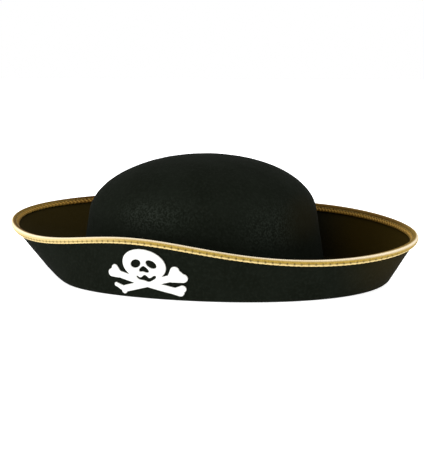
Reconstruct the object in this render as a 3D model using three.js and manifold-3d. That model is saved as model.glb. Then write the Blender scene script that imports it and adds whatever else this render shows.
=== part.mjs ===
// A felt pirate hat: an oval domed crown sewn to a boat-shaped brim that is turned up all round, gold braid
// folded over its edge, a skull and crossbones on the front, and a sweatband round the head opening.
// Millimetres. X runs from tip to tip, -Y is the front, +Z is up, and the hat rests on Z = 0.

import * as THREE from 'three';
import Module from 'manifold-3d';
import { ParametricGeometry } from 'three/addons/geometries/ParametricGeometry.js';
import { TessellateModifier } from 'three/addons/modifiers/TessellateModifier.js';
import { mergeVertices } from 'three/addons/utils/BufferGeometryUtils.js';

const wasm = await Module();
wasm.setup();

// ---- Driving dimensions -----------------------------------------------------------------------------

const GAP = 0.3; // clearance between pieces that touch
const FELT = 2; // thickness of the stiffened felt
const FRONT = -Math.PI / 2; // angles go round the hat from +X
const SMALL = 1e-3; // step for slopes taken by difference
const STEPS_ROUND = 80; // steps round the brim and its edge
const STEPS_OVAL = 56; // steps round the crown and its band
const STEPS_DOME = 9; // steps from the top of the dome to its side

// The crown and everything inside it is an oval, longer from front to back. Widths below are half-widths
// in X.
const OVAL = 1.1; // front-to-back length over side-to-side width
const DOME = { halfWidth: 87.4, foot: 48.6, rise: 46 };
const SIDE = { base: 94.8, bottom: FELT + GAP }; // the sloping side under the dome
const COLLAR = { top: 15, bend: 3.75 }; // the brim's inner edge, turned up inside the crown
const HEADLINE_SEAM = 10; // height of the seam through sweatband, collar and crown
const SWEATBAND = { bottom: 5, top: 30, thickness: 0.8 };

// The floor of the brim, and the wall that climbs from it to the rim. The felt is soft: the tip on the
// wearer's right (-X) sweeps up from the floor in one long curve, and the tip on the left keeps more floor
// and turns up sharply.
const FLOOR = { halfLength: 120.7, shift: 21.5, halfWidth: 108.6, boxiness: 0.036 };
// Radius of the bend at the foot of the wall, as a share of the arc that would reach the rim by itself.
const BEND = { sides: 0.107, rightTip: 0.947, leftTip: 0.171, sharpness: 5.4 };
const RIM = { halfLength: 168.8, halfWidth: 113.7, tips: 0.065 };
// The rim rides in waves round the hat. Each wave is keyed by how often it comes round.
const RIM_MEAN = 41.5;
const RIM_SINES = { 1: 7.3, 3: 4, 5: -0.7 };
const RIM_COSINES = { 1: -3.1, 2: -2.9, 4: 1 };

const BRAID = { thickness: 0.8, outerLeg: 3.9, innerLeg: 5.7, halfInside: 1.4, shoulder: 1.1, flat: 0.7 };
const BRAID_SEAM = 2.6; // below the top of the braid
const FELT_EDGE = BRAID.shoulder + GAP; // the felt stops this far below the top of the braid
const THREAD = 0.4; // radius of the sewing thread's solid

const BADGE = { thickness: 0.8, aside: 8.4, climb: 9.2, longestEdge: 6 }; // climb: floor edge to crossing
const LABEL = { width: 22, height: 18, thickness: 0.4, bottom: HEADLINE_SEAM + THREAD + GAP };

const FELT_BLACK = { color: 0x171c16, roughness: 0.95, metalness: 0 };
const BRAID_GOLD = { color: 0xbb9a50, roughness: 0.45, metalness: 0.5 };
const THREAD_GOLD = { color: 0x7a5c22, roughness: 0.7, metalness: 0 };
const THREAD_BLACK = { color: 0x12120f, roughness: 0.8, metalness: 0 };
const BAND_BLACK = { color: 0x1b1b1a, roughness: 0.7, metalness: 0 };
const BADGE_WHITE = { color: 0xf7f7f2, roughness: 0.8, metalness: 0 };
const LABEL_WHITE = { color: 0xe9e6dc, roughness: 0.85, metalness: 0 };

// ---- Helpers ----------------------------------------------------------------------------------------

const pirateHat = new THREE.Group();

function addPiece(name, geometry, look) {
  const mesh = new THREE.Mesh(geometry, new THREE.MeshStandardMaterial(look));
  mesh.name = name;
  pirateHat.add(mesh);
}

function weld(geometry) {
  geometry.deleteAttribute('normal');
  geometry.deleteAttribute('uv');
  return mergeVertices(geometry, 1e-4);
}

// A closed ring: the stations of its section, taken in order, are swept once round the hat.
function ringSolid(stations, place) {
  const surface = (u, v, target) => {
    const station = stations[Math.round(v * stations.length) % stations.length];
    target.copy(place(2 * Math.PI * u, station));
  };
  return weld(new ParametricGeometry(surface, STEPS_ROUND, stations.length));
}

// An oval ring or cap: a profile of [half-width, height] points turned round Z and drawn out front to back.
function ovalSolid(profile) {
  const points = profile.map(([halfWidth, height]) => new THREE.Vector2(halfWidth, height));
  const lathe = new THREE.LatheGeometry(points, STEPS_OVAL);
  return weld(lathe.rotateX(Math.PI / 2).scale(1, OVAL, 1));
}

function ovalBand(inner, outer, bottom, top) {
  return ovalSolid([[outer, bottom], [outer, top], [inner, top], [inner, bottom], [outer, bottom]]);
}

function toManifold(geometry) {
  const welded = weld(geometry.clone());
  const vertProperties = new Float32Array(welded.attributes.position.array);
  const triVerts = new Uint32Array(welded.index.array);
  return new wasm.Manifold(new wasm.Mesh({ numProp: 3, vertProperties, triVerts }));
}

function fromManifold(solid) {
  const { vertProperties, triVerts } = solid.getMesh();
  const geometry = new THREE.BufferGeometry();
  geometry.setAttribute('position', new THREE.BufferAttribute(vertProperties, 3));
  geometry.setIndex(new THREE.BufferAttribute(triVerts, 1));
  return geometry;
}

// Moves every vertex of a flat piece to its place on the hat.
function bend(geometry, place) {
  const { position } = geometry.attributes;
  const vertex = new THREE.Vector3();
  for (let i = 0; i < position.count; i += 1) {
    vertex.fromBufferAttribute(position, i);
    position.setXYZ(i, ...place(vertex).toArray());
  }
  return geometry;
}

// ---- Crown, sweatband and headline seam -------------------------------------------------------------

// Where the dome's outline reaches the slope of the side, so that one runs smoothly into the other.
const sideSlope = (SIDE.base - DOME.halfWidth) / (DOME.foot - SIDE.bottom);
const leave = Math.atan((sideSlope * DOME.rise) / DOME.halfWidth);
const leaveWidth = DOME.halfWidth * Math.cos(leave);
const leaveHeight = DOME.foot + DOME.rise * Math.sin(leave);

function crownSide(height) {
  const fraction = (height - SIDE.bottom) / (leaveHeight - SIDE.bottom);
  return THREE.MathUtils.lerp(SIDE.base, leaveWidth, fraction);
}

function domeArc(inset) {
  const points = [];
  for (let i = 0; i <= STEPS_DOME; i += 1) {
    const angle = THREE.MathUtils.lerp(Math.PI / 2, leave, i / STEPS_DOME);
    const width = i === 0 ? 0 : (DOME.halfWidth - inset) * Math.cos(angle);
    points.push([width, DOME.foot + (DOME.rise - inset) * Math.sin(angle)]);
  }
  return points;
}

function crown() {
  const outside = [...domeArc(0), [SIDE.base, SIDE.bottom]];
  const inside = [...domeArc(FELT), [SIDE.base - FELT, SIDE.bottom]];
  return ovalSolid([...inside, ...outside.reverse()]);
}

const collarMiddle = crownSide(COLLAR.top) - FELT - GAP - FELT / 2;
const bandOuter = collarMiddle - FELT / 2 - GAP;
const bandInner = bandOuter - SWEATBAND.thickness;

function sweatband() {
  return ovalBand(bandInner, bandOuter, SWEATBAND.bottom, SWEATBAND.top);
}

function headlineThread(middle) {
  return ovalSolid([
    [middle + THREAD, HEADLINE_SEAM],
    [middle, HEADLINE_SEAM + THREAD],
    [middle - THREAD, HEADLINE_SEAM],
    [middle, HEADLINE_SEAM - THREAD],
    [middle + THREAD, HEADLINE_SEAM],
  ]);
}

// The blank label stands on the seam at the rear, against the sweatband.
function label() {
  const sheet = weld(new THREE.BoxGeometry(LABEL.width, LABEL.thickness, LABEL.height, 8, 1, 1));
  const inset = bandInner - GAP - LABEL.thickness / 2;
  const roundness = inset / OVAL; // radius of curvature at the rear of the oval
  const centre = new THREE.Vector3(0, inset * OVAL - roundness, LABEL.bottom + LABEL.height / 2);
  return bend(sheet, ({ x, y, z }) => {
    const angle = x / roundness;
    const reach = roundness + y;
    return new THREE.Vector3(reach * Math.sin(angle), reach * Math.cos(angle), z).add(centre);
  });
}

// ---- Brim -------------------------------------------------------------------------------------------

function floorEdge(angle) {
  const fullness = 1 + FLOOR.boxiness * Math.sin(2 * angle) ** 2;
  const halfLength = FLOOR.halfLength + FLOOR.shift * Math.cos(angle);
  const [x, y] = [halfLength * Math.cos(angle), FLOOR.halfWidth * Math.sin(angle)];
  return new THREE.Vector3(x * fullness, y * fullness, FELT / 2);
}

function outwardFromFloor(angle) {
  const edge = floorEdge(angle + SMALL).sub(floorEdge(angle - SMALL));
  return new THREE.Vector3(edge.y, -edge.x, 0).normalize();
}

function bendRadius(angle, run, rise) {
  const tip = Math.cos(angle) < 0 ? BEND.rightTip : BEND.leftTip;
  const share = THREE.MathUtils.lerp(BEND.sides, tip, Math.abs(Math.cos(angle)) ** BEND.sharpness);
  return (share * (run ** 2 + rise ** 2)) / (2 * rise);
}

function rimHeight(angle) {
  let height = RIM_MEAN;
  for (const [wave, lift] of Object.entries(RIM_SINES)) {
    height += lift * Math.sin(wave * angle);
  }
  for (const [wave, lift] of Object.entries(RIM_COSINES)) {
    height += lift * Math.cos(wave * angle);
  }
  return height;
}

// The rim's outline is drawn out towards its two tips.
function rimPoint(angle) {
  const along = (1 - RIM.tips) * Math.cos(angle) + RIM.tips * Math.cos(3 * angle);
  return new THREE.Vector3(RIM.halfLength * along, RIM.halfWidth * Math.sin(angle), rimHeight(angle));
}

// The wall over one point of the floor's edge: an arc, then a straight climb to the rim.
function wallSection(angle) {
  const foot = floorEdge(angle);
  const outward = outwardFromFloor(angle);
  const toRim = rimPoint(angle).sub(foot);
  const run = toRim.dot(outward);
  const rise = toRim.z;
  const radius = bendRadius(angle, run, rise);
  const lean = Math.atan2(run, radius - rise) - Math.acos(radius / Math.hypot(run, radius - rise));
  return { foot, outward, radius, lean, arc: radius * lean };
}

function bendPoint({ foot, outward, radius }, turned) {
  const point = foot.clone().addScaledVector(outward, radius * Math.sin(turned));
  point.z += radius * (1 - Math.cos(turned));
  return point;
}

// A point of the wall's middle surface, reached by climbing from the edge of the floor.
function wallPoint(angle, climb) {
  const section = wallSection(angle);
  if (climb < section.arc) return bendPoint(section, climb / section.radius);
  const bendEnd = bendPoint(section, section.lean);
  const climbing = rimPoint(angle).sub(bendEnd).normalize();
  return bendEnd.addScaledVector(climbing, climb - section.arc);
}

function wallLength(angle) {
  const section = wallSection(angle);
  return section.arc + rimPoint(angle).distanceTo(bendPoint(section, section.lean));
}

function normalOf(surface, angle, along) {
  const round = surface(angle + SMALL, along).sub(surface(angle - SMALL, along));
  const up = surface(angle, along + SMALL).sub(surface(angle, along - SMALL));
  return round.cross(up).normalize();
}

// The frame that the edge pieces share: straight out of the wall, and straight down from the rim.
function rimFrame(angle) {
  const round = rimPoint(angle + SMALL).sub(rimPoint(angle - SMALL)).normalize();
  const climbing = rimPoint(angle).sub(wallPoint(angle, wallLength(angle) - BRAID.outerLeg)).normalize();
  const out = round.clone().cross(climbing).normalize();
  const up = out.clone().cross(round);
  return { rim: rimPoint(angle), out, up, squareness: up.dot(climbing) };
}

function edgePoint(angle, [across, below]) {
  const { rim, out, up } = rimFrame(angle);
  return rim.addScaledVector(out, across).addScaledVector(up, -below);
}

// The felt's middle surface in five stretches: collar, its bend, floor, the wall's bend and the wall.
function brimMiddle(angle, stretch) {
  const fraction = stretch - Math.floor(stretch);
  if (stretch >= 3) {
    const { arc } = wallSection(angle);
    const top = wallLength(angle) - FELT_EDGE / rimFrame(angle).squareness;
    return wallPoint(angle, stretch < 4 ? arc * fraction : THREE.MathUtils.lerp(arc, top, stretch - 4));
  }
  const [x, y] = [collarMiddle * Math.cos(angle), collarMiddle * OVAL * Math.sin(angle)];
  const collar = new THREE.Vector3(x, y, FELT / 2);
  const outward = floorEdge(angle).sub(collar);
  const width = outward.length();
  outward.normalize();
  if (stretch >= 2) {
    return collar.addScaledVector(outward, THREE.MathUtils.lerp(COLLAR.bend, width, fraction));
  }
  if (stretch >= 1) {
    const turn = (fraction * Math.PI) / 2;
    collar.z += COLLAR.bend * (1 - Math.sin(turn));
    return collar.addScaledVector(outward, COLLAR.bend * (1 - Math.cos(turn)));
  }
  collar.z = THREE.MathUtils.lerp(COLLAR.top, collar.z + COLLAR.bend, stretch);
  return collar;
}

function brim() {
  const stretches = [0, 1, 1.5, 2, 3, 3.25, 3.5, 3.75, 4, 4.5, 5];
  const outside = stretches.map((stretch) => ({ stretch, side: FELT / 2 }));
  const inside = stretches.map((stretch) => ({ stretch, side: -FELT / 2 })).reverse();
  return ringSolid([...outside, ...inside], (angle, { stretch, side }) => {
    return brimMiddle(angle, stretch).addScaledVector(normalOf(brimMiddle, angle, stretch), side);
  });
}

// ---- Edge of the brim: braid and the two threads of its seam -----------------------------------------

function braid() {
  const { thickness, outerLeg, innerLeg, halfInside, shoulder, flat } = BRAID;
  const outside = halfInside + thickness;
  const section = [
    [outside, outerLeg], [outside, shoulder], [flat, 0],
    [-flat, 0], [-outside, shoulder], [-outside, innerLeg],
    [-halfInside, innerLeg], [-halfInside, shoulder], [-flat, thickness],
    [flat, thickness], [halfInside, shoulder], [halfInside, outerLeg],
  ];
  return ringSolid(section, edgePoint);
}

function seamThread(side) {
  const across = side * (BRAID.halfInside + BRAID.thickness + GAP + THREAD);
  const section = [
    [across + THREAD, BRAID_SEAM],
    [across, BRAID_SEAM - THREAD],
    [across - THREAD, BRAID_SEAM],
    [across, BRAID_SEAM + THREAD],
  ];
  return ringSolid(section, edgePoint);
}

// ---- Skull and crossbones ---------------------------------------------------------------------------

// Flat layout: X to the right, Y up, with the origin in the notch under the crossing of the bones.
const SKULL = { x: -2.7, y: 15.6, halfWidth: 16.4, halfHeight: 11.1, tilt: -0.15 };
const JAW = { top: 9, bottom: 1.6, topHalfWidth: 10.6, bottomHalfWidth: 8.5 };
const EYES = [
  { x: -8.6, y: 16.3, halfWidth: 3.9, halfHeight: 2.9, tilt: 0.3 },
  { x: 3.1, y: 16.4, halfWidth: 4.2, halfHeight: 2.5, tilt: -0.45 },
];
const BONE_WIDTH = 4.9;
// Each bone has two forked ends; a fork is its root on the shaft and its two knobs, as [x, y, width].
const BONES = [
  [
    { root: [-23, 7.9], knobs: [[-25.8, 11.8, 5.3], [-28.7, 8.2, 5.7]] },
    { root: [20, -2], knobs: [[24.2, -0.2, 5.2], [22.9, -2.8, 5.2]] },
  ],
  [
    { root: [17.5, 7.4], knobs: [[19.4, 12.5, 6.2], [24.8, 7.4, 6.2]] },
    { root: [-17.5, -2.3], knobs: [[-25.2, 0.1, 3], [-18.2, -3.7, 4.5]] },
  ],
];
const WEB = 0.8; // the felt between a fork's knobs, as a share of the narrower knob's width

function plate(shape, grow = 0) {
  const depth = BADGE.thickness + 2 * grow;
  const flat = new THREE.ExtrudeGeometry(shape, { depth, bevelEnabled: false, curveSegments: 7 });
  return toManifold(flat.translate(0, 0, -grow));
}

function oval({ x, y, halfWidth, halfHeight, tilt = 0 }) {
  return new THREE.Shape().absellipse(x, y, halfWidth, halfHeight, 0, 2 * Math.PI, false, tilt);
}

// A bar with round ends.
function bar([x1, y1], [x2, y2], width) {
  const heading = Math.atan2(y2 - y1, x2 - x1);
  const shape = new THREE.Shape();
  shape.absarc(x2, y2, width / 2, heading - Math.PI / 2, heading + Math.PI / 2);
  shape.absarc(x1, y1, width / 2, heading + Math.PI / 2, heading + 1.5 * Math.PI);
  return shape;
}

function jaw() {
  const { top, bottom, topHalfWidth, bottomHalfWidth } = JAW;
  const shape = new THREE.Shape();
  shape.moveTo(-topHalfWidth, top).lineTo(-bottomHalfWidth, bottom);
  shape.lineTo(bottomHalfWidth, bottom).lineTo(topHalfWidth, top);
  return shape;
}

function nose() {
  const shape = new THREE.Shape();
  shape.moveTo(-2.8, 14.9).bezierCurveTo(-4.2, 14.7, -6.4, 12.4, -6, 11.4);
  shape.bezierCurveTo(-5.7, 10.3, -4, 11, -2.8, 11).bezierCurveTo(-1.5, 10.6, 1.1, 9.8, 1.4, 11.1);
  shape.bezierCurveTo(1.6, 12.3, -1.2, 14.8, -2.8, 14.9);
  return shape;
}

function mouth() {
  const shape = new THREE.Shape();
  shape.moveTo(-7.9, 7.7).bezierCurveTo(-7, 7.7, -6.1, 6.6, -5, 6.6);
  shape.bezierCurveTo(-3.9, 6.7, -3, 8.6, -1.8, 8.6).bezierCurveTo(-0.5, 8.6, 0.4, 6.6, 1.8, 6.6);
  shape.bezierCurveTo(3.2, 6.6, 4.3, 8.6, 5.8, 8.5).bezierCurveTo(7.2, 8.2, 6.4, 6.6, 5.4, 6);
  shape.bezierCurveTo(4, 5.2, 2.8, 4, 1, 3.9).bezierCurveTo(-0.4, 4, -1.4, 4.7, -2.8, 4.8);
  shape.bezierCurveTo(-4.6, 4.9, -6.2, 5, -7, 5.8).bezierCurveTo(-7.6, 6.3, -8.6, 7.4, -7.9, 7.7);
  return shape;
}

function fork({ root, knobs }) {
  const [first, second] = knobs;
  const web = bar(first, second, WEB * Math.min(first[2], second[2]));
  return [...knobs.map((knob) => bar(root, knob, knob[2])), web];
}

function badge() {
  let solid = plate(oval(SKULL)).add(plate(jaw()));
  for (const [start, end] of BONES) {
    const bars = [bar(start.root, end.root, BONE_WIDTH), ...fork(start), ...fork(end)];
    for (const shape of bars) {
      solid = solid.add(plate(shape));
    }
  }
  for (const hole of [...EYES.map(oval), nose(), mouth()]) {
    solid = solid.subtract(plate(hole, 1));
  }
  const tessellated = new TessellateModifier(BADGE.longestEdge, 8).modify(fromManifold(solid));
  const alongWall = wallPoint(FRONT + SMALL, BADGE.climb).distanceTo(wallPoint(FRONT - SMALL, BADGE.climb));
  const radiansPerMillimetre = (2 * SMALL) / alongWall;
  return weld(bend(tessellated, ({ x, y, z }) => {
    const angle = FRONT + (x + BADGE.aside) * radiansPerMillimetre;
    const climb = y + BADGE.climb;
    const lift = FELT / 2 + GAP + z;
    return wallPoint(angle, climb).addScaledVector(normalOf(wallPoint, angle, climb), lift);
  }));
}

// ---- The hat ----------------------------------------------------------------------------------------

addPiece('crown', crown(), FELT_BLACK);
addPiece('brim', brim(), FELT_BLACK);
addPiece('brim_binding', braid(), BRAID_GOLD);
addPiece('binding_needle_thread', seamThread(1), THREAD_GOLD);
addPiece('binding_bobbin_thread', seamThread(-1), THREAD_GOLD);
addPiece('sweatband', sweatband(), BAND_BLACK);
addPiece('headline_needle_thread', headlineThread(bandInner - GAP - THREAD), THREAD_BLACK);
addPiece('headline_bobbin_thread', headlineThread(crownSide(HEADLINE_SEAM) + GAP + THREAD), THREAD_BLACK);
addPiece('skull_badge', badge(), BADGE_WHITE);
addPiece('care_label', label(), LABEL_WHITE);

export default pirateHat;
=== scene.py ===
"""A felt pirate hat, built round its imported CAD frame.

Lengths in the dimensions and shape functions are millimetres, and every mesh is made in metres.
+X runs to the wearer's left, -Y to the front and +Z up. Angles go round the hat from +X.
"""
import math

import bpy
import numpy as np
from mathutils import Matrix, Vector, noise


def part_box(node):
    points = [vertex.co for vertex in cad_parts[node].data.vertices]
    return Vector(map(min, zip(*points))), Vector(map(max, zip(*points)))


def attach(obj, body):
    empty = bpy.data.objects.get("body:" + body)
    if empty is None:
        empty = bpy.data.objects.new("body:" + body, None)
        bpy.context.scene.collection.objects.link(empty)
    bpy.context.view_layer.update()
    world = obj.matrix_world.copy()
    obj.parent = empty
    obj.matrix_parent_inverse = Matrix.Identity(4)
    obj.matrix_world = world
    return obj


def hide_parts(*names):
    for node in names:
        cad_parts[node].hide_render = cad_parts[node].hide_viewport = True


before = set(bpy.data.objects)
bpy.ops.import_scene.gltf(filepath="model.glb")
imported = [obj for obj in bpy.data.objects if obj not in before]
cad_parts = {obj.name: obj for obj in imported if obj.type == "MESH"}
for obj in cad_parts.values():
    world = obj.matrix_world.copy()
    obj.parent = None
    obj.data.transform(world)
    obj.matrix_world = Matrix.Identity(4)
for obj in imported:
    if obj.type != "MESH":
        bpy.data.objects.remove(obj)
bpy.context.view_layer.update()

# ---- Dimensions, as the CAD part has them ----------------------------------------------------------

MM = 0.001
GAP = 0.3
FELT = 2.0
FRONT, REAR = -math.pi / 2, math.pi / 2
SMALL = 1e-3

crown_low, crown_high = (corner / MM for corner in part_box("crown"))
band_low, band_high = (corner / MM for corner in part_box("sweatband"))

SIDE_BASE, SIDE_BOTTOM = crown_high.x, crown_low.z
OVAL = crown_high.y / crown_high.x
DOME_HALF_WIDTH, DOME_FOOT = 87.4, 48.6
DOME_RISE = crown_high.z - DOME_FOOT

COLLAR_TOP, COLLAR_BEND = 15.0, 3.75
HEADLINE_SEAM = 10.0
BAND_THICKNESS = 0.8

FLOOR_HALF_LENGTH, FLOOR_SHIFT, FLOOR_HALF_WIDTH, FLOOR_BOXINESS = 120.7, 21.5, 108.6, 0.036
BEND_SIDES, BEND_RIGHT_TIP, BEND_LEFT_TIP, BEND_SHARPNESS = 0.107, 0.947, 0.171, 5.4
RIM_HALF_LENGTH, RIM_HALF_WIDTH, RIM_TIPS = 168.8, 113.7, 0.065
RIM_MEAN, RIM_SINES, RIM_COSINES = 41.5, {1: 7.3, 3: 4.0, 5: -0.7}, {1: -3.1, 2: -2.9, 4: 1.0}

BRAID_THICKNESS, OUTER_LEG, INNER_LEG, BRAID_SEAM = 0.8, 3.9, 5.7, 2.6
BRAID_SHOULDER = 1.1
HALF_INSIDE = 1.4
FELT_EDGE = BRAID_SHOULDER + GAP

BADGE_THICKNESS, BADGE_ASIDE, BADGE_CLIMB = 0.8, 8.4, 9.2
LABEL_WIDTH, LABEL_HEIGHT, LABEL_THICKNESS = 22.0, 18.0, 0.4

# ---- Detail that only the visual model has ---------------------------------------------------------

RIB_PITCH = 1.5  # of the braid's cross ribs
RIB_RELIEF = 0.09
RIB_SAMPLES = 5
SCALLOP_PITCH, OUTER_SCALLOP, INNER_SCALLOP = 3.5, 0.2, 0.55
NEEDLE_STITCH = 5.0
HOLE_RADIUS, HOLE_DEPTH = 0.6, 0.3
FOLD = 1.3  # height of the rounded fold over the felt's edge
HEM = 0.9  # how far in from the braid's edges the scallops reach
BEAD_AT, BEAD_WIDTH, BEAD_RELIEF = 0.5, 0.4, 0.16  # the raised edge of the braid, from its selvedge
GIMP_AT, GIMP_SWING, GIMP_WIDTH = 3.9, 0.6, 0.6  # the zigzag yarn inside, below the top of the braid
GROSGRAIN_PITCH, GROSGRAIN_RELIEF = 1.6, 0.11
SELVEDGE = (1.6, 1.0)  # from the sweatband's edges, where its ribs start and end
BAND_ROUNDING = 0.3
HEADLINE_STITCH = 3.2
HEADLINE_INSIDE, HEADLINE_OUTSIDE = 0.1, 0.15  # how far its threads stand off the cloth
LABEL_BOW, LABEL_RIPPLE = 0.9, 0.25  # how far the label's tape stands off the sweatband
LABEL_RIPPLE_LENGTH = 3.1
THREAD_RADIUS = 0.2
DIVE = 0.22  # share of a stitch over which its thread dives to a needle hole

FLOOR_GLOW = 0.8  # light that the white floor sends back up


# ---- Small tools -----------------------------------------------------------------------------------

def lerp(a, b, share):
    return a + (b - a) * share


def smoothstep(low, high, value):
    share = np.clip((value - low) / (high - low), 0, 1)
    return share * share * (3 - 2 * share)


def unit(vectors):
    return vectors / np.linalg.norm(vectors, axis=-1, keepdims=True)


def dot(a, b):
    return (a * b).sum(-1)


def points(x, y, z):
    return np.stack(np.broadcast_arrays(x, y, z), axis=-1).astype(float)


def lumps(at, size, seed):
    """Smooth noise from -1 to 1 at each point, with hills about size millimetres across."""
    shift = Vector((seed, -seed, 0.5 * seed))
    flat = at.reshape(-1, 3) / size
    values = [noise.noise(Vector(p) + shift) for p in flat]
    return np.array(values).reshape(at.shape[:-1])


def unevenness(at, waves):
    """The sum of several smooth noises. Each wave is its height, its size and its seed."""
    return sum(height * lumps(at, size, seed) for height, size, seed in waves)


def make_piece(name, vertices, faces, **attributes):
    """A smooth mesh object from millimetre points. Each attribute gives one number for every vertex."""
    mesh = bpy.data.meshes.new(name)
    mesh.from_pydata((vertices.reshape(-1, 3) * MM).tolist(), [], faces)
    mesh.validate()
    mesh.shade_smooth()
    for kind, values in attributes.items():
        layer = mesh.attributes.new(kind, "FLOAT", "POINT")
        layer.data.foreach_set("value", values.astype(np.float32).ravel())
    piece = bpy.data.objects.new(name, mesh)
    bpy.context.scene.collection.objects.link(piece)
    return piece


def ring_faces(rows, columns, close_rows=True, close_columns=True):
    """Quads between a grid's rows and columns, with the last ones joined to the first where asked."""
    faces = []
    for i in range(rows if close_rows else rows - 1):
        for j in range(columns if close_columns else columns - 1):
            a, b = i * columns + j, i * columns + (j + 1) % columns
            c, d = (i + 1) % rows * columns + (j + 1) % columns, (i + 1) % rows * columns + j
            faces.append((a, b, c, d))
    return faces


def finish_piece(piece, node, material):
    piece.data.materials.append(material)
    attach(piece, "root")
    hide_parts(node)
    return piece


# ---- Shape of the hat ------------------------------------------------------------------------------

side_slope = (SIDE_BASE - DOME_HALF_WIDTH) / (DOME_FOOT - SIDE_BOTTOM)
leave = math.atan(side_slope * DOME_RISE / DOME_HALF_WIDTH)
leave_width = DOME_HALF_WIDTH * math.cos(leave)
leave_height = DOME_FOOT + DOME_RISE * math.sin(leave)


def crown_side(height):
    return lerp(SIDE_BASE, leave_width, (height - SIDE_BOTTOM) / (leave_height - SIDE_BOTTOM))


collar_middle = crown_side(COLLAR_TOP) - FELT - GAP - FELT / 2
band_outer = collar_middle - FELT / 2 - GAP
band_inner = band_outer - BAND_THICKNESS


def floor_edge(angle):
    fullness = 1 + FLOOR_BOXINESS * np.sin(2 * angle) ** 2
    half_length = FLOOR_HALF_LENGTH + FLOOR_SHIFT * np.cos(angle)
    x = half_length * np.cos(angle) * fullness
    y = FLOOR_HALF_WIDTH * np.sin(angle) * fullness
    return points(x, y, FELT / 2)


def outward_from_floor(angle):
    edge = floor_edge(angle + SMALL) - floor_edge(angle - SMALL)
    return unit(points(edge[..., 1], -edge[..., 0], 0))


def rim_point(angle):
    """The top line of the braid, drawn out towards the two tips and rising in waves."""
    along = (1 - RIM_TIPS) * np.cos(angle) + RIM_TIPS * np.cos(3 * angle)
    height = RIM_MEAN
    height = height + sum(size * np.sin(wave * angle) for wave, size in RIM_SINES.items())
    height = height + sum(size * np.cos(wave * angle) for wave, size in RIM_COSINES.items())
    return points(RIM_HALF_LENGTH * along, RIM_HALF_WIDTH * np.sin(angle), height)


def bend_point(foot, outward, radius, turned):
    point = foot + outward * (radius * np.sin(turned))[..., None]
    point[..., 2] += radius * (1 - np.cos(turned))
    return point


def wall_section(angle):
    """The wall over one point of the floor's edge: an arc, then a straight climb to the rim."""
    foot, outward = floor_edge(angle), outward_from_floor(angle)
    to_rim = rim_point(angle) - foot
    run, rise = dot(to_rim, outward), to_rim[..., 2]
    tip = np.where(np.cos(angle) < 0, BEND_RIGHT_TIP, BEND_LEFT_TIP)
    share = lerp(BEND_SIDES, tip, np.abs(np.cos(angle)) ** BEND_SHARPNESS)
    radius = share * (run ** 2 + rise ** 2) / (2 * rise)
    lean = np.arctan2(run, radius - rise) - np.arccos(radius / np.hypot(run, radius - rise))
    return foot, outward, radius, lean


def wall_point(angle, climb):
    """A point of the wall's middle surface, reached by climbing from the edge of the floor."""
    foot, outward, radius, lean = wall_section(angle)
    arc = radius * lean
    on_bend = bend_point(foot, outward, radius, np.minimum(climb, arc) / radius)
    climbing = unit(rim_point(angle) - bend_point(foot, outward, radius, lean))
    return on_bend + climbing * np.maximum(climb - arc, 0)[..., None]


def wall_lengths(angle):
    foot, outward, radius, lean = wall_section(angle)
    straight = np.linalg.norm(rim_point(angle) - bend_point(foot, outward, radius, lean), axis=-1)
    return radius * lean, radius * lean + straight


def normal_of(surface, angle, along):
    around = surface(angle + SMALL, along) - surface(angle - SMALL, along)
    upward = surface(angle, along + SMALL) - surface(angle, along - SMALL)
    return unit(np.cross(around, upward))


def rim_frame(angle):
    around = unit(rim_point(angle + SMALL) - rim_point(angle - SMALL))
    climbing = unit(rim_point(angle) - wall_point(angle, wall_lengths(angle)[1] - OUTER_LEG))
    out = unit(np.cross(around, climbing))
    up = np.cross(out, around)
    return out, up, dot(up, climbing)


def edge_point(angle, across, below):
    """A point of the edging: so far out of the wall, and so far below the top of the braid."""
    out, up, _ = rim_frame(angle)
    return rim_point(angle) + out * np.asarray(across)[..., None] - up * np.asarray(below)[..., None]


def brim_middle(angle, stretch):
    """The felt's middle surface in five stretches: collar, its bend, floor, the wall's bend and wall."""
    angle, stretch = np.broadcast_arrays(angle, stretch)
    collar = points(collar_middle * np.cos(angle), collar_middle * OVAL * np.sin(angle), FELT / 2)
    across = floor_edge(angle) - collar
    width = np.linalg.norm(across, axis=-1)
    outward = across / width[..., None]

    upright = collar.copy()
    upright[..., 2] = lerp(COLLAR_TOP, FELT / 2 + COLLAR_BEND, stretch)
    turn = np.clip(stretch - 1, 0, 1) * math.pi / 2
    bent = collar + outward * (COLLAR_BEND * (1 - np.cos(turn)))[..., None]
    bent[..., 2] += COLLAR_BEND * (1 - np.sin(turn))
    flat = collar + outward * lerp(COLLAR_BEND, width, stretch - 2)[..., None]
    arc, length = wall_lengths(angle)
    top = length - FELT_EDGE / rim_frame(angle)[2]
    climb = np.where(stretch < 4, arc * (stretch - 3), lerp(arc, top, stretch - 4))
    wall = wall_point(angle, np.maximum(climb, 0))

    stretch = stretch[..., None]
    return np.where(stretch < 1, upright, np.where(stretch < 2, bent, np.where(stretch < 3, flat, wall)))


def rim_distances():
    """Distance along the rim from the rear, for a table of angles, to space things evenly."""
    angles = np.linspace(REAR, REAR + 2 * math.pi, 4001)
    steps = np.linalg.norm(np.diff(rim_point(angles), axis=0), axis=-1)
    return angles, np.concatenate([[0], np.cumsum(steps)])


rim_angles, rim_travel = rim_distances()
rim_length = rim_travel[-1]


def angle_at(distance):
    return np.interp(distance, rim_travel, rim_angles)


# ---- Materials -------------------------------------------------------------------------------------

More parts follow.
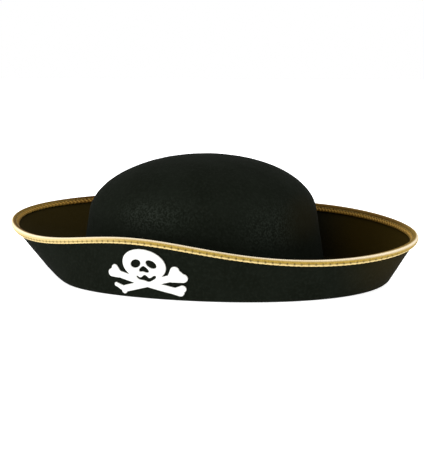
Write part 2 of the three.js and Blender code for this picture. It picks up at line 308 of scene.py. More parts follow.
class Look:
    """A material's node tree, with short ways to add the nodes that the looks here use."""

    def __init__(self, name, **sockets):
        self.material = bpy.data.materials.new(name)
        self.material.use_nodes = True
        self.tree = self.material.node_tree
        self.shader = self.tree.nodes["Principled BSDF"]
        for socket, value in sockets.items():
            self.shader.inputs[socket.replace("_", " ")].default_value = value

    def node(self, kind, links=None, **settings):
        made = self.tree.nodes.new(kind)
        for key, value in settings.items():
            if hasattr(made, key):
                setattr(made, key, value)
            else:
                made.inputs[key.replace("_", " ")].default_value = value
        for socket, source in (links or {}).items():
            self.tree.links.new(source, made.inputs[socket])
        return made

    def where(self):
        return self.node("ShaderNodeTexCoord").outputs["Object"]

    def noise(self, size, detail=2.0, stretch=None):
        """Noise whose features are about size millimetres across, as a value from 0 to 1."""
        place = self.where()
        if stretch:
            place = self.node("ShaderNodeMapping", {"Vector": place}, Scale=stretch).outputs["Vector"]
        made = self.node("ShaderNodeTexNoise", {"Vector": place}, Scale=1 / (size * MM), Detail=detail)
        return made.outputs["Fac"]

    def attribute(self, name):
        return self.node("ShaderNodeAttribute", attribute_name=name).outputs["Fac"]

    def spread(self, value, low, high, to_low=0.0, to_high=1.0):
        made = self.node("ShaderNodeMapRange", {"Value": value})
        made.inputs["From Min"].default_value, made.inputs["From Max"].default_value = low, high
        made.inputs["To Min"].default_value, made.inputs["To Max"].default_value = to_low, to_high
        return made.outputs["Result"]

    def math(self, operation, a, b):
        made = self.node("ShaderNodeMath", operation=operation)
        for socket, value in zip(made.inputs, (a, b)):
            if isinstance(value, (int, float)):
                socket.default_value = value
            else:
                self.tree.links.new(value, socket)
        return made.outputs[0]

    def mix(self, share, first, second):
        """Two colours mixed by share. Each colour is a tuple or another node's output."""
        made = self.node("ShaderNodeMix", data_type="RGBA")
        self.tree.links.new(share, made.inputs["Factor"])
        for socket, colour in ((made.inputs[6], first), (made.inputs[7], second)):
            if isinstance(colour, tuple):
                socket.default_value = (*colour, 1)
            else:
                self.tree.links.new(colour, socket)
        return made.outputs[2]

    def wire(self, socket, source):
        self.tree.links.new(source, self.shader.inputs[socket])

    def bump(self, height, distance, strength=1.0, below=None):
        links = {"Height": height}
        if below:
            links["Normal"] = below
        made = self.node("ShaderNodeBump", links, Strength=strength, Distance=distance * MM)
        return made.outputs["Normal"]


def felt_black():
    """Pressed wool felt: matt, faintly mottled and flecked, with painted sheen as paler grey flecks in
    two patches, and browner where shade is high, a painted brown cast of light bounced off the gold
    braid."""
    look = Look("felt_black", Roughness=0.95)
    look.shader.inputs["Specular IOR Level"].default_value = 0.02
    cloudy = look.spread(look.noise(26, 3), 0.4, 0.66)
    colour = look.mix(cloudy, (0.0047, 0.0060, 0.0038), (0.0062, 0.0078, 0.0053))
    flecks = look.spread(look.noise(2.0, 3), 0.45, 0.7)
    colour = look.mix(flecks, colour, (0.0078, 0.0097, 0.0068))
    # painted sheen: paler grey flecks in the sheen patches
    sheen_flecks = look.math("MULTIPLY", look.attribute("rubbed"), look.spread(look.noise(1.3, 2), 0.44, 0.62))
    colour = look.mix(sheen_flecks, colour, (0.0175, 0.0215, 0.0165))
    # painted bounce light: a brown cast of light off the gold braid, where shade is high
    colour = look.mix(look.attribute("shade"), colour, (0.028, 0.018, 0.0024))
    look.wire("Base Color", colour)
    fibres = look.bump(look.noise(0.5, 4), 0.12, 0.5)
    look.wire("Normal", look.bump(look.noise(2.4, 3), 0.25, 0.4, fibres))
    return look.material


def braid_gold():
    """Metallic yarn over a cotton core. Its attributes mark the needle holes (shade), a painted
    highlight along the top of the fold, a painted highlight along the raised edge of the outer leg
    (bead) with painted light over the wearer's right side, painted shade over the inner leg, and the
    zigzag yarn along it (gimp)."""
    look = Look("braid_gold", Metallic=0.1, Roughness=0.6)
    look.shader.inputs["Specular IOR Level"].default_value = 0.05
    yarn = look.spread(look.noise(1.0, 3), 0.35, 0.7)
    colour = look.mix(yarn, (0.27, 0.172, 0.022), (0.43, 0.29, 0.058))
    # painted shade: the darker colour laid over the inner leg
    inner_leg_shade = look.mix(yarn, (0.044, 0.017, 0.0008), (0.1, 0.042, 0.0032))
    colour = look.mix(look.attribute("inner_leg_shade"), colour, inner_leg_shade)
    colour = look.mix(look.attribute("gimp"), colour, (0.74, 0.42, 0.09))
    # painted highlight: the pale colour laid along the top of the fold
    highlight_colour = look.mix(yarn, (1, 0.84, 0.62), (1, 0.95, 0.8))
    # painted highlight along the raised edge, with painted light over the wearer's right side
    colour = look.mix(look.attribute("bead"), colour, (0.86, 0.68, 0.33))
    colour = look.mix(look.attribute("painted_highlight"), colour, highlight_colour)
    colour = look.mix(look.attribute("shade"), colour, (0.035, 0.018, 0.003))
    look.wire("Base Color", colour)
    look.wire("Normal", look.bump(look.noise(0.35, 2), 0.1, 0.5))
    return look.material


def thread(name, colour, light):
    """Twisted sewing thread."""
    look = Look(name, Roughness=0.7)
    look.wire("Base Color", look.mix(look.spread(look.noise(0.4, 2), 0.35, 0.65), colour, light))
    look.wire("Normal", look.bump(look.noise(0.25, 2), 0.06, 0.6))
    return look.material


def grosgrain():
    """Black ribbed ribbon with a slight satin gloss on the ribs."""
    look = Look("band_black", Roughness=0.5, Sheen_Weight=0.15)
    yarn = look.spread(look.noise(0.7, 3), 0.35, 0.7)
    colour = look.mix(yarn, (0.006, 0.006, 0.006), (0.016, 0.016, 0.016))
    look.wire("Base Color", look.mix(look.attribute("shade"), (0.004, 0.004, 0.004), colour))
    look.wire("Normal", look.bump(look.noise(0.3, 3), 0.08, 0.5))
    return look.material


def badge_white():
    """White craft felt, matt, with faint fibres, and painted shade that greys it towards its cut edge
    and on its underside.
    """
    look = Look("badge_white", Roughness=0.85, Sheen_Weight=0.1)
    fibres = look.spread(look.noise(0.9, 4), 0.3, 0.75)
    colour = look.mix(fibres, (0.72, 0.74, 0.71), (0.84, 0.86, 0.83))
    # painted shade, greying the cut edge and the underside
    look.wire("Base Color", look.mix(look.attribute("shade"), colour, (0.52, 0.51, 0.47)))
    look.wire("Normal", look.bump(look.noise(0.5, 4), 0.1, 0.5))
    return look.material


def label_white():
    """Woven satin tape, left blank."""
    look = Look("label_white", Roughness=0.55, Sheen_Weight=0.2)
    warp = look.noise(0.5, 1, (1, 1, 0.08))
    colour = look.mix(look.spread(warp, 0.3, 0.7), (0.68, 0.66, 0.6), (0.86, 0.85, 0.8))
    look.wire("Base Color", colour)
    look.wire("Normal", look.bump(warp, 0.05, 0.6))
    return look.material


# ---- Crown -----------------------------------------------------------------------------------------

CROWN_COLUMNS = 320
CROWN_EDGE = 0.7  # rounding of the felt's cut edge
CROWN_WAVES = [(0.45, 46, 3), (0.1, 9, 7)]
CROWN_LOOSE = (16, 34)  # heights over which the felt starts to wander from its plain shape
CROWN_HEART = 0.4 * DOME_FOOT  # height of the point that it wanders away from
# Painted brown cast of light bounced off the gold braid, on the wearer's left: how much, and the places
# aside and upwards where it sets in.
CROWN_BOUNCE, CROWN_BOUNCE_ASIDE, CROWN_BOUNCE_UP = 0.3, (76, 95), (25, 50)
# Patches of painted sheen, where light catches the nap: angle round the hat, height, and reach sideways
# and upwards.
SHEEN_PATCHES = [(math.radians(-88), 56.0, 27.0, 11.0), (math.radians(-30), 46.0, 25.0, 16.0)]


def crown_profile(inset, steps):
    """Half-width and height from the top of the dome down to the cut edge, on one face of the felt."""
    angle = np.linspace(math.pi / 2, leave, steps)[1:]
    width = (DOME_HALF_WIDTH - inset) * np.cos(angle)
    dome = np.stack([width, DOME_FOOT + (DOME_RISE - inset) * np.sin(angle)], 1)
    height = np.linspace(dome[-1][1], SIDE_BOTTOM + CROWN_EDGE, steps // 2)[1:]
    side = np.stack([crown_side(height) - inset, height], 1)
    return np.concatenate([dome, side])


def rubbed_share(at):
    """How much painted sheen each point gets, from 0 to 1."""
    share = np.zeros(at.shape[:-1])
    for angle, height, sideways, upwards in SHEEN_PATCHES:
        width = crown_side(height)
        off = at - points(width * math.cos(angle), width * OVAL * math.sin(angle), height)
        off = off / np.array([sideways, sideways, upwards])
        share = np.maximum(share, np.exp(-dot(off, off)))
    return share


def crown():
    """The blocked felt crown, with the small unevenness that steaming over a block leaves."""
    outside, inside = crown_profile(0, 60), crown_profile(FELT, 40)
    middle = SIDE_BASE - FELT / 2
    turn = np.linspace(0, math.pi, 7)[1:-1]
    edge = np.stack([
        middle + (FELT / 2) * np.cos(turn),
        SIDE_BOTTOM + CROWN_EDGE * (1 - np.sin(turn)),
    ], 1)
    profile = np.concatenate([outside, edge, inside[::-1]])
    angle = np.linspace(0, 2 * math.pi, CROWN_COLUMNS, endpoint=False)
    width, height = profile[:, :1], profile[:, 1:]
    grid = points(width * np.cos(angle), width * OVAL * np.sin(angle), height)
    poles = np.array([[0, 0, crown_high.z], [0, 0, crown_high.z - FELT]])

    rows, columns = len(profile), CROWN_COLUMNS
    faces = [face[::-1] for face in ring_faces(rows, columns, close_rows=False)]
    top, under = rows * columns, rows * columns + 1
    for j in range(columns):
        after = (j + 1) % columns
        faces.append((top, j, after))
        faces.append((under, (rows - 1) * columns + after, (rows - 1) * columns + j))

    vertices = np.concatenate([grid.reshape(-1, 3), poles])
    away = unit(vertices - np.array([0, 0, CROWN_HEART]))
    loose = smoothstep(*CROWN_LOOSE, vertices[:, 2])
    vertices += away * (unevenness(vertices, CROWN_WAVES) * loose)[:, None]
    # painted bounce light: a brown cast up the wearer's left side of the crown, passed on as shade
    bounce_light = CROWN_BOUNCE * smoothstep(*CROWN_BOUNCE_ASIDE, vertices[:, 0])
    bounce_light *= smoothstep(*CROWN_BOUNCE_UP, vertices[:, 2])
    return make_piece("felt_crown", vertices, faces, rubbed=rubbed_share(vertices), shade=bounce_light)


# ---- Brim ------------------------------------------------------------------------------------------

BRIM_COLUMNS = 440
BRIM_STEPS = (5, 6, 12, 14, 22)  # over the felt's five stretches
BRIM_ROUNDING = 0.5  # of the felt's two cut edges
BRIM_WAVES = [(0.5, 38, 11), (0.09, 8, 5)]
WALL_LOOSE, WALL_HELD = (3.6, 4.2), (4.6, 4.9)  # stretches where the wall starts and stops wandering
# Painted brown cast of light bounced off the gold braid: the distances from the middle where it sets in
# inside, with less on the wearer's right, and how much and where it sets in outside, at the wearer's
# left tip. It also fades in up the wall.
INSIDE_BOUNCE, INSIDE_BOUNCE_RIGHT = (45, 105), 0.62
TIP_BOUNCE, TIP_BOUNCE_ASIDE = 0.4, (125, 165)
BOUNCE_UP = (2.2, 4.4)


def wall_unevenness(at, stretch):
    """How far the wall's felt stands out of its plain shape: none at the floor or in the braid."""
    loose = smoothstep(*WALL_LOOSE, stretch) * (1 - smoothstep(*WALL_HELD, stretch))
    return unevenness(at, BRIM_WAVES) * loose


def brim_surface(angle, stretch, side):
    """A point of the felt's face: side is 1 below and outside, -1 above and inside, 0 in the middle."""
    inner = np.clip(stretch, SMALL, 5 - SMALL)
    middle = brim_middle(angle, inner)
    normal = normal_of(brim_middle, angle, inner)
    return middle + normal * (side * FELT / 2 + wall_unevenness(middle, inner))[..., None]


def brim():
    """The felt brim in one piece, from the collar inside the crown to the edge inside the braid."""
    stretches = np.concatenate([i + np.arange(n) / n for i, n in enumerate(BRIM_STEPS)] + [[5.0]])
    turn = np.linspace(-math.pi / 2, math.pi / 2, 5)[1:-1]
    sides = [1 + 0 * stretches, -np.sin(turn), -1 + 0 * stretches, np.sin(turn)]
    along = [stretches, 5 + 0 * turn, stretches[::-1], 0 * turn]
    sides, along = np.concatenate(sides), np.concatenate(along)
    angle = angle_at(np.arange(BRIM_COLUMNS) / BRIM_COLUMNS * rim_length)
    grid = brim_surface(angle[None, :], along[:, None], sides[:, None])
    rounding = np.concatenate([0 * stretches, np.cos(turn), 0 * stretches, -np.cos(turn)])
    grid[..., 2] += BRIM_ROUNDING * rounding[:, None]

    inside = smoothstep(0.2, -0.6, sides)[:, None]
    reach = np.abs(grid[..., 0])
    left = smoothstep(-40, 40, grid[..., 0])
    # painted bounce light: a brown cast inside towards the tips, less on the wearer's right, and outside
    # at the wearer's left tip
    bounce_light = inside * smoothstep(*INSIDE_BOUNCE, reach) * lerp(INSIDE_BOUNCE_RIGHT, 1, left)
    bounce_light += TIP_BOUNCE * left * (1 - inside) * smoothstep(*TIP_BOUNCE_ASIDE, reach)
    bounce_light *= smoothstep(*BOUNCE_UP, along)[:, None]
    return make_piece("felt_brim", grid, ring_faces(len(along), BRIM_COLUMNS), shade=bounce_light)


# ---- Edging ----------------------------------------------------------------------------------------

def braid_section():
    """The folded strip's middle line from the outer edge over the fold to the inner edge."""
    middle = HALF_INSIDE + BRAID_THICKNESS / 2
    straight = FOLD + BRAID_THICKNESS / 2
    outer = points(middle, np.linspace(OUTER_LEG, straight, 12)[:-1], 0)
    turn = np.linspace(0, math.pi, 13)
    over = points(middle * np.cos(turn), BRAID_THICKNESS / 2 + FOLD * (1 - np.sin(turn)), 0)
    inner = points(-middle, np.linspace(straight, INNER_LEG, 17)[1:], 0)
    return np.concatenate([outer, over, inner])[:, :2]


def ridge(distance, at, width):
    """A smooth ridge of height 1 across the strip, at one distance from its edge."""
    return np.exp(-((distance - at) / width) ** 2)


def braid():
    """Gold braid folded over the edge: ribbed across, beaded along its edges, pricked by the needle."""
    line = braid_section()
    heading = unit(np.gradient(line, axis=0))
    face = np.stack([-heading[:, 1], heading[:, 0]], 1)
    face *= np.sign(dot(face, line - np.array([0, OUTER_LEG])))[:, None]
    travel = np.concatenate([[0], np.cumsum(np.linalg.norm(np.diff(line, axis=0), axis=1))])
    from_outer, from_inner = travel[:, None], travel[-1] - travel[:, None]

    columns = round(rim_length / RIB_PITCH) * RIB_SAMPLES
    distance = np.arange(columns) / columns * rim_length
    angle = angle_at(distance)
    rib = np.cos(2 * math.pi * np.arange(columns) / RIB_SAMPLES)[None, :]
    scallops = round(rim_length / SCALLOP_PITCH)
    scallop = np.abs(np.sin(math.pi * distance / rim_length * scallops))[None, :]
    stitches = round(rim_length / NEEDLE_STITCH)
    to_hole = ((distance / rim_length * stitches + 0.5) % 1 - 0.5)[None, :] * rim_length / stitches

    seam = OUTER_LEG - BRAID_SEAM
    hole = np.exp(-(to_hole ** 2 + (from_outer - seam) ** 2) / HOLE_RADIUS ** 2)
    bead = ridge(from_outer, BEAD_AT, BEAD_WIDTH) + 0.6 * ridge(from_inner, BEAD_AT, BEAD_WIDTH)
    ribbed = smoothstep(seam, seam + 0.6, from_outer) * smoothstep(0.7, 1.2, from_inner)
    relief = RIB_RELIEF * rib * (0.3 + 0.7 * ribbed)
    relief = relief + BEAD_RELIEF * bead * (0.6 + 0.4 * scallop) - HOLE_DEPTH * hole

    out_face = line[:, None, :] + face[:, None, :] * (BRAID_THICKNESS / 2 + relief)[..., None]
    in_face = line[:, None, :] - face[:, None, :] * (BRAID_THICKNESS / 2) + 0 * relief[..., None]
    hem = smoothstep(HEM, 0, from_outer) * OUTER_SCALLOP
    hem = hem + smoothstep(HEM, 0, from_inner) * INNER_SCALLOP
    out_face[..., 1] += hem * scallop
    in_face[..., 1] += hem * scallop
    section = np.concatenate([out_face, in_face[::-2]])
    grid = edge_point(angle[None, :], section[..., 0], section[..., 1])

    height, across = line[:, 1:], line[:, :1]
    # where the painted highlight lies over the top of the fold
    on_top = smoothstep(FOLD, 0.1, height) * smoothstep(-0.6, 0.4, across)
    zigzag = GIMP_AT + GIMP_SWING * np.sin(2 * math.pi * distance / rim_length * scallops)[None, :]
    side_on = rim_point(angle)[None, :, 0]
    inside = smoothstep(0.2, -1, across)
    at_tips = smoothstep(135, 168, np.abs(side_on))
    # the wearer's right side, where painted light brightens the outer leg and the painted shade on the
    # inner leg is deeper
    right = smoothstep(20, -60, side_on)
    # painted highlight along the raised edge of the outer leg
    edge = 0.8 * ridge(from_outer, BEAD_AT, 0.7)
    dashes = (0.2 + 0.8 * scallop) * (1 - 0.45 * right)
    looks = {
        "shade": np.minimum(1.5 * hole, 1),
        # painted highlight along the top of the fold
        "painted_highlight": on_top * (0.92 + 0.08 * rib),
        # painted highlight along the raised edge, and painted light over the outer leg on the wearer's
        # right
        "bead": np.maximum(edge, 0.7 * right * (1 - inside)) * (0.9 + 0.1 * rib),
        # painted shade over the inner leg, lighter towards the tips and on the wearer's left
        "inner_leg_shade": inside * (1 - 0.3 * at_tips - 0.13 * (1 - right)),
        "gimp": inside * ridge(height, zigzag, GIMP_WIDTH) * dashes,
    }
    layers = {}
    for kind, values in looks.items():
        layers[kind] = np.zeros(section.shape[:2])
        layers[kind][:len(line)] = values
    faces = [face[::-1] for face in ring_faces(len(section), columns)]
    return make_piece("gold_braid", grid, faces, **layers)


def tube(name, centre, across, along, sides=8):
    """A round ring along a line of points. across and along are its radii in two directions."""
    turn = np.arange(sides) / sides * 2 * math.pi
    rows = centre[:, None, :] + across[:, None, :] * np.cos(turn)[None, :, None]
    rows = rows + along[:, None, :] * np.sin(turn)[None, :, None]
    return make_piece(name, rows, [face[::-1] for face in ring_faces(len(centre), sides)])


def stitched_thread(name, path, out, count, samples, dip):
    """Sewing thread that lies on the cloth between needle holes and dives at each of them."""
    steps = np.arange(count * samples) / samples
    to_hole = np.abs((steps + 0.5) % 1 - 0.5)
    sunk = dip * (1 - smoothstep(0, DIVE, to_hole))
    centre = path - out * sunk[:, None]
    around = unit(np.roll(centre, -1, 0) - np.roll(centre, 1, 0))
    side = unit(np.cross(around, out))
    return tube(name, centre, np.cross(side, around) * THREAD_RADIUS, side * THREAD_RADIUS)


def edge_seam(name, side):
    count, samples = round(rim_length / NEEDLE_STITCH), 10
    distance = np.arange(count * samples) / (count * samples) * rim_length
    angle = angle_at(distance)
    surface = HALF_INSIDE + BRAID_THICKNESS + 0.5 * THREAD_RADIUS
    path = edge_point(angle, side * surface + 0 * angle, BRAID_SEAM + 0 * angle)
    return stitched_thread(name, path, side * rim_frame(angle)[0], count, samples, dip=0.5)


# ---- Sweatband, headline seam and label ------------------------------------------------------------

def oval_travel():
    angles = np.linspace(0, 2 * math.pi, 2001)
    line = points(band_inner * np.cos(angles), band_inner * OVAL * np.sin(angles), 0)
    return angles, np.concatenate([[0], np.cumsum(np.linalg.norm(np.diff(line, axis=0), axis=1))])


oval_angles, oval_distance = oval_travel()
oval_length = oval_distance[-1]


def on_oval(angle, inset_width, height):
    return points(inset_width * np.cos(angle), inset_width * OVAL * np.sin(angle), height)


def sweatband():
    """Grosgrain ribbon round the opening: upright ribs, and a woven selvedge along both edges."""
    ribs, samples = round(oval_length / GROSGRAIN_PITCH), 6
    columns = ribs * samples
    angle = np.interp(np.arange(columns) / columns * oval_length, oval_distance, oval_angles)
    rib = np.cos(2 * math.pi * np.arange(columns) / samples)
    height = np.linspace(band_low.z, band_high.z, 22)
    selvedge = smoothstep(*SELVEDGE, np.minimum(height - band_low.z, band_high.z - height))
    relief = GROSGRAIN_RELIEF * rib[None, :] * (1 - selvedge)[:, None]
    middle = (band_inner + band_outer) / 2
    half = BAND_THICKNESS / 2 - GROSGRAIN_RELIEF
    turn = np.linspace(-math.pi / 2, math.pi / 2, 5)[1:-1]
    swing, rounding = half * np.sin(turn)[:, None], BAND_ROUNDING * np.cos(turn)[:, None]
    inside = on_oval(angle[None, :], middle - half - relief, height[:, None])
    outside = on_oval(angle[None, :], middle + half + 0 * relief, height[::-1][:, None])
    top = on_oval(angle[None, :], middle + swing, band_high.z + rounding)
    low = on_oval(angle[None, :], middle - swing, band_low.z - rounding)
    grid = np.concatenate([inside, top, outside, low])
    shade = np.full(grid.shape[:2], 0.6)
    shade[:len(height)] = 0.5 + 0.5 * rib[None, :]
    faces = [face[::-1] for face in ring_faces(len(grid), columns)]
    return make_piece("grosgrain_sweatband", grid, faces, shade=shade)


def headline(name, width, side, samples=8):
    """The seam that holds sweatband, brim and crown together, on one side of the three layers."""
    count = round(oval_length / HEADLINE_STITCH)
    angle = np.arange(count * samples) / (count * samples) * 2 * math.pi
    path = on_oval(angle, width, HEADLINE_SEAM)
    out = unit(points(np.cos(angle) * OVAL, np.sin(angle), 0)) * side
    return stitched_thread(name, path, out, count, samples, dip=0.45)


def label():
    """The blank label, its tape bowed a little off the sweatband towards its free top edge."""
    columns, rows = 45, 37
    x = np.linspace(-LABEL_WIDTH / 2, LABEL_WIDTH / 2, columns)
    share = np.linspace(0, 1, rows)
    low, high = (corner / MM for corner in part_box("care_label"))
    height = lerp(low.z, high.z, share)[:, None]
    inset = band_inner - GAP - LABEL_THICKNESS / 2
    roundness = inset / OVAL
    ripple = LABEL_RIPPLE * np.sin(x / LABEL_RIPPLE_LENGTH)[None, :]
    bow = LABEL_BOW * share[:, None] ** 2 + ripple * share[:, None]
    layers = []
    for side in (1, -1):
        reach = roundness - bow + side * LABEL_THICKNESS / 2
        turned = x[None, :] / roundness
        y = inset * OVAL - roundness + reach * np.cos(turned)
        layers.append(points(reach * np.sin(turned), y, height))
    grid = np.concatenate([layers[0], layers[1][::-1]])
    faces = ring_faces(len(grid), columns, close_columns=False)
    last = len(grid) - 1
    for i in range(rows - 1):
        for j, turned_over in ((0, False), (columns - 1, True)):
            face = [row * columns + j for row in (i, i + 1, last - i - 1, last - i)]
            faces.append(tuple(face[::-1]) if turned_over else tuple(face))
    return make_piece("blank_label", grid, faces)


# ---- Skull and crossbones --------------------------------------------------------------------------

SKULL = (-2.7, 15.6, 16.4, 11.1, -0.15)  # centre, half-width, half-height and tilt in radians
JAW = [(-10.6, 9), (-8.5, 1.6), (8.5, 1.6), (10.6, 9)]
EYES = [(-8.6, 16.3, 3.9, 2.9, 0.3), (3.1, 16.4, 4.2, 2.5, -0.45)]
BONE_WIDTH = 4.9
# Each bone has two forked ends; a fork is its root on the shaft and its two knobs, as (x, y, width).
BONES = [
    [
        ((-23, 7.9), [(-25.8, 11.8, 5.3), (-28.7, 8.2, 5.7)]),
        ((20, -2), [(24.2, -0.2, 5.2), (22.9, -2.8, 5.2)]),
    ],
    [
        ((17.5, 7.4), [(19.4, 12.5, 6.2), (24.8, 7.4, 6.2)]),
        ((-17.5, -2.3), [(-25.2, 0.1, 3), (-18.2, -3.7, 4.5)]),
    ],
]
WEB = 0.8  # the felt between a fork's knobs, as a share of the narrower knob's width
NOSE = [
    [(-2.8, 14.9), (-4.2, 14.7), (-6.4, 12.4), (-6, 11.4)],
    [(-6, 11.4), (-5.7, 10.3), (-4, 11), (-2.8, 11)],
    [(-2.8, 11), (-1.5, 10.6), (1.1, 9.8), (1.4, 11.1)],
    [(1.4, 11.1), (1.6, 12.3), (-1.2, 14.8), (-2.8, 14.9)],
]
MOUTH = [
    [(-7.9, 7.7), (-7, 7.7), (-6.1, 6.6), (-5, 6.6)],
    [(-5, 6.6), (-3.9, 6.7), (-3, 8.6), (-1.8, 8.6)],
    [(-1.8, 8.6), (-0.5, 8.6), (0.4, 6.6), (1.8, 6.6)],
    [(1.8, 6.6), (3.2, 6.6), (4.3, 8.6), (5.8, 8.5)],
    [(5.8, 8.5), (7.2, 8.2), (6.4, 6.6), (5.4, 6)],
    [(5.4, 6), (4, 5.2), (2.8, 4), (1, 3.9)],
    [(1, 3.9), (-0.4, 4), (-1.4, 4.7), (-2.8, 4.8)],
    [(-2.8, 4.8), (-4.6, 4.9), (-6.2, 5), (-7, 5.8)],
    [(-7, 5.8), (-7.6, 6.3), (-8.6, 7.4), (-7.9, 7.7)],
]
BADGE_CELL = 0.4
BADGE_LEFT, BADGE_RIGHT, BADGE_LOW, BADGE_HIGH = -33, 31, -8, 28  # the grid that covers it
BADGE_WAVES = [(0.05, 2.5, 21)]
BADGE_ROUNDING = 0.35
BADGE_LIFT = GAP * 0.3  # all but touching the felt that it is fused to


def bezier_loop(pieces, steps=8):
    share = np.linspace(0, 1, steps, endpoint=False)[:, None]
    loop = []
    for a, b, c, d in np.array(pieces, float):
        loop.append(a * (1 - share) ** 3 + 3 * b * share * (1 - share) ** 2
                    + 3 * c * share ** 2 * (1 - share) + d * share ** 3)
    return np.concatenate(loop)


def ellipse_loop(x, y, half_width, half_height, tilt=0.0, steps=72):
    turn = np.arange(steps) / steps * 2 * math.pi
    along, up = half_width * np.cos(turn), half_height * np.sin(turn)
    cos, sin = math.cos(tilt), math.sin(tilt)
    return np.stack([x + along * cos - up * sin, y + along * sin + up * cos], 1)


def from_loop(at, loop):
    """Distance from each flat point to a closed outline, negative inside it."""
    start, end = loop, np.roll(loop, -1, 0)
    edge = end - start
    to = at[:, None, :] - start[None]
    share = np.clip((to * edge).sum(-1) / (edge ** 2).sum(-1), 0, 1)
    nearest = np.linalg.norm(to - share[..., None] * edge, axis=-1).min(1)
    above = (start[None, :, 1] > at[:, None, 1]) != (end[None, :, 1] > at[:, None, 1])
    with np.errstate(divide="ignore", invalid="ignore"):
        crossing = start[:, 0] + edge[:, 0] * (at[:, None, 1] - start[:, 1]) / edge[:, 1]
    inside = (above & (at[:, None, 0] < crossing)).sum(1) % 2 == 1
    return np.where(inside, -nearest, nearest)


def from_bar(at, start, end, width):
    start, end = np.array(start[:2], float), np.array(end[:2], float)
    edge = end - start
    share = np.clip((at - start) @ edge / (edge @ edge), 0, 1)
    return np.linalg.norm(at - start - share[:, None] * edge, axis=1) - width / 2


def badge_distance(at):
    """Distance from each flat point to the badge's cut outline, negative on the badge."""
    parts = [from_loop(at, ellipse_loop(*SKULL)), from_loop(at, np.array(JAW, float))]
    for forks in BONES:
        (root_a, _), (root_b, _) = forks
        parts.append(from_bar(at, root_a, root_b, BONE_WIDTH))
        for root, (first, second) in forks:
            parts.append(from_bar(at, root, first, first[2]))
            parts.append(from_bar(at, root, second, second[2]))
            parts.append(from_bar(at, first, second, WEB * min(first[2], second[2])))
    solid = np.minimum.reduce(parts)
    holes = [ellipse_loop(*eye) for eye in EYES] + [bezier_loop(NOSE), bezier_loop(MOUTH)]
    for hole in holes:
        solid = np.maximum(solid, -from_loop(at, hole))
    return solid


def pull_to_outline(at):
    """Moves flat points onto the badge's outline by steps down the slope of the distance."""
    for _ in range(4):
        here = badge_distance(at)
        slope = np.stack([
            badge_distance(at + np.array([SMALL, 0])) - here,
            badge_distance(at + np.array([0, SMALL])) - here,
        ], 1) / SMALL
        at = at - slope * (here / np.maximum((slope ** 2).sum(1), 0.25))[:, None]
    return at


def badge_cells():
    """A flat grid that covers the badge, and which of its cells the die leaves."""
    xs = np.arange(BADGE_LEFT, BADGE_RIGHT + SMALL, BADGE_CELL)
    ys = np.arange(BADGE_LOW, BADGE_HIGH + SMALL, BADGE_CELL)
    flat = np.stack(np.meshgrid(xs, ys), -1)
    centres = (flat[:-1, :-1] + flat[1:, 1:]) / 2
    return flat, badge_distance(centres.reshape(-1, 2)).reshape(centres.shape[:2]) < 0


def badge():
    """The die-cut skull and crossbones: a flat sheet cut along its outline, then laid on the wall."""
    flat, kept = badge_cells()
    rows, columns = kept.shape
    padded = np.pad(kept, 1)
    around = padded[:-1, :-1] * 1 + padded[1:, :-1] + padded[:-1, 1:] + padded[1:, 1:]
    used, rim = around > 0, (around > 0) & (around < 4)
    number = np.full(used.shape, -1)
    number[used] = np.arange(used.sum())
    at = flat[used]
    at[rim[used]] = pull_to_outline(at[rim[used]])
    inward = np.maximum(-badge_distance(at), 0)
    inward[rim[used]] = 0

    lift = FELT / 2 + BADGE_LIFT
    rounded = BADGE_ROUNDING * (1 - np.sqrt(1 - (1 - np.clip(inward / BADGE_ROUNDING, 0, 1)) ** 2))
    top = lift + BADGE_THICKNESS - rounded
    bottom = np.full(len(at), lift)
    alongside = wall_point(np.array([FRONT + SMALL]), np.array([BADGE_CLIMB]))
    alongside = alongside - wall_point(np.array([FRONT - SMALL]), np.array([BADGE_CLIMB]))
    angle = FRONT + (at[:, 0] + BADGE_ASIDE) * 2 * SMALL / np.linalg.norm(alongside)
    climb = at[:, 1] + BADGE_CLIMB
    middle, normal = wall_point(angle, climb), normal_of(wall_point, angle, climb)
    arc, length = wall_lengths(angle)
    cloth = length - FELT_EDGE / rim_frame(angle)[2]
    stretch = np.where(climb < arc, 3 + climb / arc, 4 + (climb - arc) / (cloth - arc))
    middle = middle + normal * wall_unevenness(middle, stretch)[:, None]
    top = top + unevenness(points(at[:, 0], at[:, 1], 0), BADGE_WAVES)
    vertices = np.concatenate([middle + normal * height[:, None] for height in (top, bottom)])

    count, faces = len(at), []
    for i, j in np.argwhere(kept):
        a, b, c, d = number[i, j], number[i, j + 1], number[i + 1, j + 1], number[i + 1, j]
        faces.append((a, b, c, d))
        faces.append((d + count, c + count, b + count, a + count))
        for start, end, beyond in (
            (a, b, (i - 1, j)), (b, c, (i, j + 1)), (c, d, (i + 1, j)), (d, a, (i, j - 1)),
        ):
            if not (0 <= beyond[0] < rows and 0 <= beyond[1] < columns and kept[beyond]):
                faces.append((end, start, start + count, end + count))
    faces = [tuple(int(v) for v in face) for face in faces]
    # painted shade: greyer within half a millimetre of the cut edge, and all over the underside
    shade = np.concatenate([smoothstep(0.5, 0, inward), np.ones(count)])
    return make_piece("skull_and_crossbones", vertices, faces, shade=shade)


# ---- The hat ---------------------------------------------------------------------------------------

felt, gold = felt_black(), braid_gold()
gold_thread = thread("thread_gold", (0.2, 0.135, 0.02), (0.34, 0.24, 0.05))
black_thread = thread("thread_black", (0.006, 0.006, 0.0055), (0.02, 0.02, 0.018))

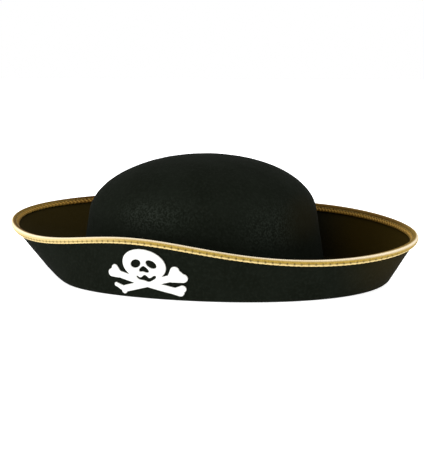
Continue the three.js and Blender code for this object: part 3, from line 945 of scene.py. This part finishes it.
crown_piece = finish_piece(crown(), "crown", felt)
brim_piece = finish_piece(brim(), "brim", felt)
braid_piece = finish_piece(braid(), "brim_binding", gold)
finish_piece(edge_seam("seam_needle_thread", 1), "binding_needle_thread", gold_thread)
finish_piece(edge_seam("seam_bobbin_thread", -1), "binding_bobbin_thread", gold_thread)
band_piece = finish_piece(sweatband(), "sweatband", grosgrain())
inner_seam = headline("headline_inner_thread", band_inner - HEADLINE_INSIDE, -1)
finish_piece(inner_seam, "headline_needle_thread", black_thread)
seam_width = crown_side(HEADLINE_SEAM) + HEADLINE_OUTSIDE
outer_seam = headline("headline_outer_thread", seam_width, 1)
finish_piece(outer_seam, "headline_bobbin_thread", black_thread)
badge_piece = finish_piece(badge(), "skull_badge", badge_white())
label_piece = finish_piece(label(), "care_label", label_white())


# ---- Flat sizes of the cloth, in metres ------------------------------------------------------------


def declare_cloth():
    """Works out the brim's flat length and width in metres, and the badge's cells, but uses none of
    them.
    """

    tips = np.array([0, math.pi])
    length = (np.abs(floor_edge(tips)[:, 0]) + wall_lengths(tips)[1]).sum() * MM
    width = 2 * (FLOOR_HALF_WIDTH + wall_lengths(np.array([FRONT]))[1][0]) * MM

    _, kept = badge_cells()


declare_cloth()


# ---- Camera, light and floor, in metres ------------------------------------------------------------

CAMERA_AZIMUTH, CAMERA_ELEVATION, CAMERA_DISTANCE = math.radians(24.8), math.radians(6.9), 0.9
AIM = Vector((0, 0, 0.05))
SENSOR, LENS = 36.0, 88.68  # millimetres, with the sensor along the picture's longer side
SHIFT_X, SHIFT_Y = 0.01724, -0.04655  # of the frame away from the aim, in widths of the sensor
# Name, place, size and power in watts.
LAMPS = [("overhead", (-0.3, -0.5, 1.5), 1.2, 7), ("front_left", (-1.2, -1.4, 0.7), 0.9, 4)]
FLOOR_REACH, FLOOR_DROP = 20.0, 0.0002


def camera():
    data = bpy.data.cameras.new("camera")
    data.sensor_width = SENSOR
    data.lens = LENS
    data.shift_x, data.shift_y = SHIFT_X, SHIFT_Y
    back = Vector((
        math.sin(CAMERA_AZIMUTH) * math.cos(CAMERA_ELEVATION),
        -math.cos(CAMERA_AZIMUTH) * math.cos(CAMERA_ELEVATION),
        math.sin(CAMERA_ELEVATION),
    ))
    seen_from = bpy.data.objects.new("camera", data)
    seen_from.location = AIM + back * CAMERA_DISTANCE
    seen_from.rotation_mode = "QUATERNION"
    seen_from.rotation_quaternion = (-back).to_track_quat("-Z", "Y")
    bpy.context.scene.collection.objects.link(seen_from)
    bpy.context.scene.camera = seen_from


def lamp(name, place, size, power):
    """A soft square light aimed at the hat."""
    data = bpy.data.lights.new(name, "AREA")
    data.size, data.energy = size, power
    light = bpy.data.objects.new(name, data)
    light.location = place
    light.rotation_mode = "QUATERNION"
    light.rotation_quaternion = (AIM - Vector(place)).to_track_quat("-Z", "Y")
    bpy.context.scene.collection.objects.link(light)


def studio():
    """An even white surround with a large soft light overhead, and a white floor lit from below."""
    world = bpy.data.worlds.new("studio")
    world.use_nodes = True
    world.node_tree.nodes["Background"].inputs["Color"].default_value = (1, 1, 1, 1)
    world.node_tree.nodes["Background"].inputs["Strength"].default_value = 1.0
    bpy.context.scene.world = world
    for settings in LAMPS:
        lamp(*settings)

    corners = [(x * FLOOR_REACH, y * FLOOR_REACH, 0) for x, y in ((-1, -1), (1, -1), (1, 1), (-1, 1))]
    mesh = bpy.data.meshes.new("floor")
    mesh.from_pydata(corners, [], [(0, 1, 2, 3)])
    ground = bpy.data.objects.new("floor", mesh)
    ground.location.z = -FLOOR_DROP
    look = Look("floor_pale", Roughness=0.9)
    look.shader.inputs["Base Color"].default_value = (0.95, 0.95, 0.95, 1)
    look.shader.inputs["Emission Color"].default_value = (1, 1, 1, 1)
    look.shader.inputs["Emission Strength"].default_value = FLOOR_GLOW
    mesh.materials.append(look.material)
    bpy.context.scene.collection.objects.link(ground)
    bpy.context.scene.view_settings.view_transform = "Standard"


camera()
studio()
